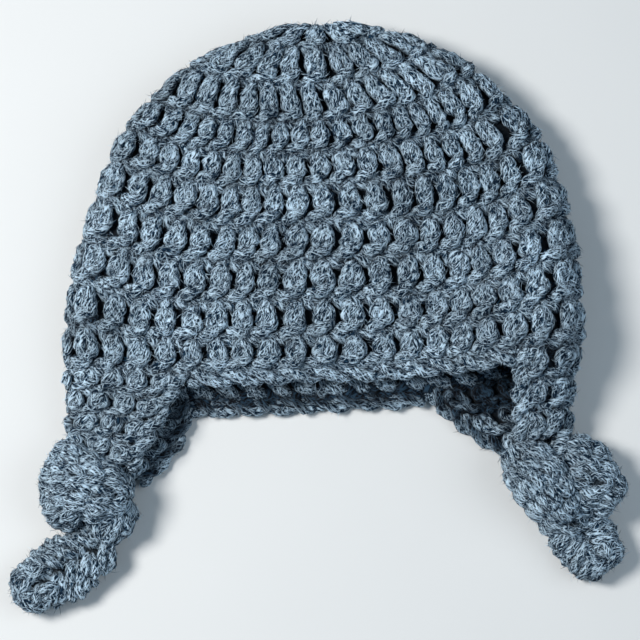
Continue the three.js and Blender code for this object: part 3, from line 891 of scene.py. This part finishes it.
knotTurns = {
    # for each turn: its middle, its half length, half width and half height, and its heading
    "left": [
        [-67.5, -52.0, 10.2, 13.2, 9.2, 10.6, -20],
        [-69.6, -46.2, 9.0, 9.3, 6.0, 8.6, -30],
        [-73.2, -56.4, 8.0, 6.6, 7.2, 8.2, 20],
        [-60.2, -60.6, 6.6, 6.8, 5.8, 6.8, 60],
    ],
    "right": [
        [65.6, -50.6, 9.6, 13.4, 8.2, 9.8, -52],
        [79.4, -50.6, 8.2, 10.2, 8.6, 8.6, -38],
        [77.0, -42.6, 7.2, 9.0, 5.4, 7.4, -15],
        [71.5, -59.4, 6.4, 7.6, 6.2, 6.6, -40],
    ],
    "pitch": 5.8,
    "strandWidth": 5.3,
    "radius": 1.5,
    "sink": -1.4,        # strands lie just inside the outline of the turn
    "coreSink": -1.3,
    "unevenness": 0.03,
    "spiral": 0.45,      # rad that a strand turns on its way over
    "clearDepth": 0.72,  # a loop deeper than this in another turn is left out
    "seed": 71,
}

# one chain loop: along the braid, across it and out of it, in pitches, widths and radii
linkPath = np.array([
    [-0.15, 0.0, -1.1], [0.14, 0.42, -0.1], [0.48, 0.78, 0.75], [0.84, 1.0, 0.6],
    [1.08, 0.75, -0.3], [1.12, 0.0, -1.1], [1.08, -0.75, -0.3], [0.84, -1.0, 0.6],
    [0.48, -0.78, 0.75], [0.14, -0.42, -0.1],
])
# a rounder loop, for the strap ends
lobePath = np.array([
    [0.02, 0.0, -0.7], [0.10, 0.62, 0.2], [0.42, 1.0, 0.8], [0.78, 0.85, 0.6],
    [0.98, 0.0, 0.0], [0.78, -0.85, 0.6], [0.42, -1.0, 0.8], [0.10, -0.62, 0.2],
])


def squared(a):
    return np.sign(a) * np.abs(a) ** 0.85


def turnPlace(turn, a, b, grow):
    x, y, z, along, across, up, heading = turn
    c, s = math.cos(math.radians(heading)), math.sin(math.radians(heading))
    ring = squared(np.sin(b))
    px = (along + grow) * squared(np.cos(b))
    py = (across + grow) * ring * squared(np.cos(a))
    pz = (up + grow) * ring * squared(np.sin(a))
    return np.stack([x + px * c - py * s, y + px * s + py * c, z + pz], -1) + hatShift


# how deep a point is inside a turn, 1 on its surface and 0 at its middle
def turnDepth(turn, p):
    x, y, z, along, across, up, heading = turn
    c, s = math.cos(math.radians(heading)), math.sin(math.radians(heading))
    q = p - hatShift - np.array([x, y, z])
    qx, qy = q[0] * c + q[1] * s, -q[0] * s + q[1] * c
    return math.sqrt((qx / along) ** 2 + (qy / across) ** 2 + (q[2] / up) ** 2)


# chain loops one after another along a path, apart from those hidden in the turns of a knot
def addBraid(pile, path, outward, look, loopPath, jitter, turns, clearDepth, rng):
    pitch, width, radius = look
    length = runLength(path)
    total = length[-1]
    count = max(int(round(total / pitch)), 1)
    widths = np.broadcast_to(np.asarray(width, float), (len(path),))
    for n in range(count):
        link = loopPath.copy()
        link[:, :2] += rng.normal(0, jitter, (len(link), 2))
        link[:, 2] += rng.normal(0, jitter * 2.6, len(link))
        loop = throughPoints(np.vstack([link, link[:1]]), 3, before=link[-1:], after=link[1:2])
        at = np.clip((n + loop[:, 0]) * (total / count), 0, total)
        out = unit(valuesAt(at, length, outward))
        ahead = unit(valuesAt(at + 0.2, length, path) - valuesAt(at - 0.2, length, path))
        wide = np.interp(at, length, widths)
        rise = loop[:, 2] * radius
        aside = unit(np.cross(out, ahead)) * (loop[:, 1] * wide)[:, None]
        points = valuesAt(at, length, path) + aside + out * rise[:, None]
        middle = points.mean(axis=0)
        if middle[2] > 0.6 and all(turnDepth(turn, middle) > clearDepth for turn in turns):
            slim = min(1.0, 0.55 + 0.45 * float(np.mean(wide)) / 1.2)
            addStrand(pile, points, radius * slim, 8, True, rng, out, rise + 1.0)


def makeKnot(name, node, turns, rng):
    pile = newPile()
    core = newPile()
    sink = knotTurns["sink"]
    for turn in turns:
        others = [other for other in turns if other is not turn]
        across, up = turn[4:6]
        around = 2 * math.pi * math.sqrt((across**2 + up**2) / 2)
        count = max(int(round(around / knotTurns["strandWidth"])), 5)
        for n in range(count):
            b = np.linspace(0.16, math.pi - 0.16, 60)
            a = 2 * math.pi * (n + 0.5) / count + knotTurns["spiral"] * (b - math.pi / 2)
            a = a + rng.normal(0, 0.03) + 0.08 * np.sin(b * 3 + rng.uniform(0, 6))
            path = turnPlace(turn, a, b, sink + rng.uniform(-0.3, 0.25))
            out = unit(turnPlace(turn, a, b, 0.5) - path)
            beside = turnPlace(turn, a + 0.05, b, sink)
            room = np.linalg.norm(beside - path, axis=1) / 0.05 * 2 * math.pi / count
            look = (knotTurns["pitch"], np.clip(room * 0.36, 0.3, 2.3), knotTurns["radius"])
            addBraid(pile, path, out, look, linkPath, knotTurns["unevenness"], others,
                     knotTurns["clearDepth"], rng)
        coreA, coreB = np.meshgrid(np.arange(28) / 28 * 2 * math.pi, np.linspace(0.12, 3.02, 16))
        addBlob(core, turnPlace(turn, coreA, coreB, knotTurns["coreSink"]))
    makePiece(name + "Strands", pile, heatherYarn, [node])
    makePiece(name + "Core", core, shadedYarn, [node])


# closed body from rings of corners, its two ends covered
def addBlob(pile, rings):
    grid = cornerGrid(*rings.shape[:2])
    quads = gridFaces(grid)[:, [0, 3, 2, 1]]
    # the bodies take part of the painted hollow shade
    addToPile(pile, rings, rings, quads, [grid[0, :-1], grid[-1, -2::-1]], 0.4)


knotRandom = np.random.default_rng(knotTurns["seed"])
makeKnot("leftKnot", "left_knot", knotTurns["left"], knotRandom)
makeKnot("rightKnot", "right_knot", knotTurns["right"], knotRandom)
print("knots made")


# the ends of the straps below the knots

strapEnds = {
    "left": {"from": [-61.0, -66.6], "to": [-86.6, -83.2], "halfWidth": 8.5, "halfThick": 4.9},
    "right": {"from": [72.6, -60.0], "to": [84.2, -73.8], "halfWidth": 9.0, "halfThick": 5.0},
    "rows": 5,
    # for each kind of loop: how deep it sinks, its unevenness, and its pitch, half width
    # and yarn radius, mm
    "sideLoops": (-1.3, 0.075, (7.4, 1.5, 1.5)),
    "tipLoops": (-1.6, 0.06, (6.2, 1.5, 1.5)),
    "topLoops": (-1.2, 0.06, (6.4, 1.6, 1.5)),
    "tipLevels": (-0.75, -0.1, 0.55),  # rad round the strap
    "topPlaces": (-0.42, 0.42),
    "slant": 0.16,
    "groove": 0.3,       # share of the height
    "clearDepth": 0.8,
    "coreSink": -1.5,
    "seed": 91,
}


def endPlace(end, a, v, grow):
    start = np.array(end["from"] + [0.0])
    finish = np.array(end["to"] + [0.0])
    length = np.linalg.norm(finish - start)
    ahead = (finish - start) / length
    side = np.array([-ahead[1], ahead[0], 0.0])
    swell = np.sqrt(np.maximum(1 - np.abs(2 * v - 1) ** 3.2, 0.0))
    wide = (end["halfWidth"] + grow) * swell
    across = wide * np.sign(np.cos(a)) * np.abs(np.cos(a)) ** 0.8
    thick = (end["halfThick"] + grow) * swell**0.8
    groove = 1 - strapEnds["groove"] * np.exp(-((across / 2.2) ** 2)) * np.maximum(np.sin(a), 0)
    up = end["halfThick"] + thick * np.sin(a) * groove
    spot = start + ahead * (v * length)[..., None] + side * across[..., None]
    spot[..., 2] = up
    return spot + hatShift


def makeStrapEnd(name, node, end, turns, rng):
    pile = newPile()
    core = newPile()
    rows = strapEnds["rows"]

    def lay(a, v, kind, inside=None):
        sink, jitter, look = strapEnds[kind]
        path = endPlace(end, a, v, sink)
        out = unit(endPlace(end, a, v, sink + 2) - path if inside is None else path - inside)
        addBraid(pile, path, out, look, lobePath, jitter, turns, strapEnds["clearDepth"], rng)

    # loops run from the groove on top round each side to the floor
    for n in range(rows):
        for sense in (-1.0, 1.0):
            start = (n + 0.5 + 0.25 * sense) / rows * 0.92 - 0.02 + rng.normal(0, 0.012)
            f = np.linspace(0, 1, 40)
            a = math.pi / 2 + sense * (rng.uniform(0.02, 0.10) + f * 3.0)
            v = np.clip(start + strapEnds["slant"] * np.sin(f * 3.1), 0.03, 0.955)
            lay(a, v, "sideLoops")
    # loops laid round the tip close it
    inside = endPlace(end, np.array([0.0]), np.array([0.72]), 0.0) * 0.5
    inside = inside + endPlace(end, np.array([math.pi]), np.array([0.72]), 0.0) * 0.5
    for level in strapEnds["tipLevels"]:
        f = np.linspace(0, 1, 40)
        a = level + f * (math.pi - 2 * level)
        lay(a, 0.86 + 0.132 * np.sin(f * math.pi), "tipLoops", inside)
    # and two run down its top and over the end
    for offset in strapEnds["topPlaces"]:
        a = np.full(30, math.pi / 2 + offset)
        lay(a, np.linspace(0.66, 0.99, 30), "topLoops")
    coreV, coreA = np.meshgrid(
        np.linspace(0.02, 0.98, 18), np.arange(28) / 28 * 2 * math.pi, indexing="ij"
    )
    addBlob(core, endPlace(end, coreA, coreV, strapEnds["coreSink"])[:, ::-1])
    makePiece(name + "Strands", pile, heatherYarn, [node])
    makePiece(name + "Core", core, shadedYarn, [node])


endRandom = np.random.default_rng(strapEnds["seed"])
makeStrapEnd("leftStrapEnd", "left_strap_end", strapEnds["left"], knotTurns["left"], endRandom)
makeStrapEnd("rightStrapEnd", "right_strap_end", strapEnds["right"], knotTurns["right"], endRandom)
print("strap ends made")


# loose fibres: thin spikes with a closed foot, lying mostly along their yarn

looseFibres = {
    "straight": 36000,   # how many short straight ones
    "bent": 10000,       # and how many bent ones
    "length": 2.1,       # mm
    "thickness": 0.10,   # half of it, mm
    "bentShare": (1.8, 1.25, 0.7),  # how the bent ones stand up, their length and thickness
    "sway": 0.65,
    "seed": 7,
}


# most stand where the yarn is open to view, and few under the hat
def pickRoots(count, rng):
    roots = np.vstack(hairRoots)
    weight = ease((roots[:, 9] - 0.2) / 0.4) * (0.25 + 0.75 * ease((roots[:, 5] + 0.5) / 0.6))
    weight = weight / weight.sum()
    return roots[rng.choice(len(roots), count, replace=False, p=weight)]


def makeFibres(name, roots, bent, rng):
    count = len(roots)
    foot, out, along, openness = np.split(roots, [3, 6, 9], axis=1)
    standing, longer, thinner = looseFibres["bentShare"] if bent else (1.0, 1.0, 1.0)
    sense = rng.choice([-1.0, 1.0], (count, 1))
    sway = rng.normal(0, looseFibres["sway"], (count, 3))
    lift = rng.uniform(0.0, 0.45, (count, 1)) ** 1.5 + 0.05
    flat = along * sense + sway
    flat = unit(flat - out * np.sum(flat * out, axis=1, keepdims=True))
    way = unit(flat + out * lift * standing)
    size = looseFibres["length"] * rng.uniform(0.5, 1.4, (count, 1)) * longer
    start = foot - out * 0.10
    first = unit(np.cross(way, out + sway * 0.1))
    second = np.cross(way, first)
    thick = looseFibres["thickness"] * rng.uniform(0.6, 1.3, (count, 1)) * thinner
    rings = []
    for turn in range(3):
        angle = turn * 2 * math.pi / 3
        rings.append((first * math.cos(angle) + second * math.sin(angle)) * thick)
    if bent:
        middle = start + way * size * 0.5
        tip = middle + unit(way + rng.normal(0, 0.45, (count, 3))) * size * 0.5
        corners = [spot for ring in rings for spot in (start + ring, middle + ring * 0.8)]
        sideFaces = [(0, 2, 3, 1), (2, 4, 5, 3), (4, 0, 1, 5)]
        endFaces = [(4, 2, 0), (1, 3, 6), (3, 5, 6), (5, 1, 6)]
    else:
        tip = start + way * size
        corners = [start + ring for ring in rings]
        sideFaces = []
        endFaces = [(2, 1, 0), (0, 1, 3), (1, 2, 3), (2, 0, 3)]
    corners = np.stack(corners + [tip], 1)
    each = corners.shape[1]
    places = np.repeat(rng.uniform(-200, 200, (count, 1, 3)), each, axis=1)
    # the fibres take less painted hollow shade than the yarn under them
    depths = np.repeat(np.clip(openness[:, 0] + 0.15, 0, 1), each)
    base = np.arange(count)[:, None] * each
    quads = np.vstack([base + np.array(face) for face in sideFaces]) if bent else []
    pile = newPile()
    addToPile(pile, corners, places, quads, (), depths)
    pile["caps"] = list(np.vstack([base + np.array(face) for face in endFaces]))
    makePiece(name, pile, fibreYarn, [])


hairRandom = np.random.default_rng(looseFibres["seed"])
chosen = pickRoots(looseFibres["straight"] + looseFibres["bent"], hairRandom)
makeFibres("shortFibres", chosen[:looseFibres["straight"]], False, hairRandom)
makeFibres("longFibres", chosen[looseFibres["straight"]:], True, hairRandom)
print("loose fibres made")


# floor, light and camera

stageLook = {
    "floorSize": 1.6,  # m
    "floorColour": (0.74, 0.74, 0.73, 1.0),
    "grainColour": (0.7178, 0.7178, 0.7081, 1.0),
    "grainScale": 30.0,
    "floorRoughness": 0.9,
    "skyColour": (0.52, 0.76, 1.0, 1.0),
    "skyStrength": 0.22,
    "keyLight": {
        "place": (-0.47, 0.04, 0.65), "size": 0.28, "power": 6.6, "colour": (1.0, 0.99, 0.97),
    },
    "fillLight": {
        "place": (0.6, -0.1, 0.7), "size": 0.8, "power": 2.4, "colour": (0.86, 0.94, 1.0),
    },
}


def makeFloor():
    half = stageLook["floorSize"] / 2
    mesh = bpy.data.meshes.new("floorSheet")
    edge = [(-half, -half, 0), (half, -half, 0), (half, half, 0), (-half, half, 0)]
    mesh.from_pydata(edge, [], [(0, 1, 2, 3)])
    floor = bpy.data.objects.new("floorSheet", mesh)
    bpy.context.collection.objects.link(floor)
    material = bpy.data.materials.new("paleFloor")
    material.use_nodes = True
    tree = material.node_tree
    grain = addNode(tree, "ShaderNodeTexNoise", {"Scale": stageLook["grainScale"]})
    tint = addNode(tree, "ShaderNodeValToRGB", {"Fac": grain.outputs["Fac"]})
    tint.color_ramp.elements[0].color = stageLook["grainColour"]
    tint.color_ramp.elements[1].color = stageLook["floorColour"]
    setInputs(tree, tree.nodes["Principled BSDF"], {
        "Base Color": tint.outputs["Color"],
        "Roughness": stageLook["floorRoughness"],
    })
    mesh.materials.append(material)


def makeLight(name):
    look = stageLook[name]
    lamp = bpy.data.lights.new(name, "AREA")
    lamp.shape = "DISK"
    lamp.size = look["size"]
    lamp.energy = look["power"]
    lamp.color = look["colour"]
    holder = bpy.data.objects.new(name, lamp)
    holder.location = look["place"]
    away = holder.location.normalized()
    holder.rotation_euler = away.to_track_quat("Z", "Y").to_euler()
    bpy.context.collection.objects.link(holder)


makeFloor()
makeLight("keyLight")
makeLight("fillLight")
world = bpy.data.worlds.new("softRoom")
bpy.context.scene.world = world
world.use_nodes = True
setInputs(world.node_tree, world.node_tree.nodes["Background"], {
    "Color": stageLook["skyColour"],
    "Strength": stageLook["skyStrength"],
})
bpy.context.scene.view_settings.view_transform = "Standard"

cameraLook = {
    "target": (-0.00022, -0.00165, 0.0),  # m
    "distance": 0.750,
    "elevation": 79.0,  # degrees over the floor
    "lens": 140.6,      # mm, on a sensor of 36 mm
}
cameraData = bpy.data.cameras.new("photoCamera")
cameraData.lens = cameraLook["lens"]
cameraData.sensor_width = 36.0
camera = bpy.data.objects.new("photoCamera", cameraData)
tilt = math.radians(cameraLook["elevation"])
x, y, z = cameraLook["target"]
back = cameraLook["distance"] * math.cos(tilt)
camera.location = (x, y - back, z + cameraLook["distance"] * math.sin(tilt))
camera.rotation_euler = (math.pi / 2 - tilt, 0.0, 0.0)
bpy.context.collection.objects.link(camera)
bpy.context.scene.camera = camera
print("stage made")
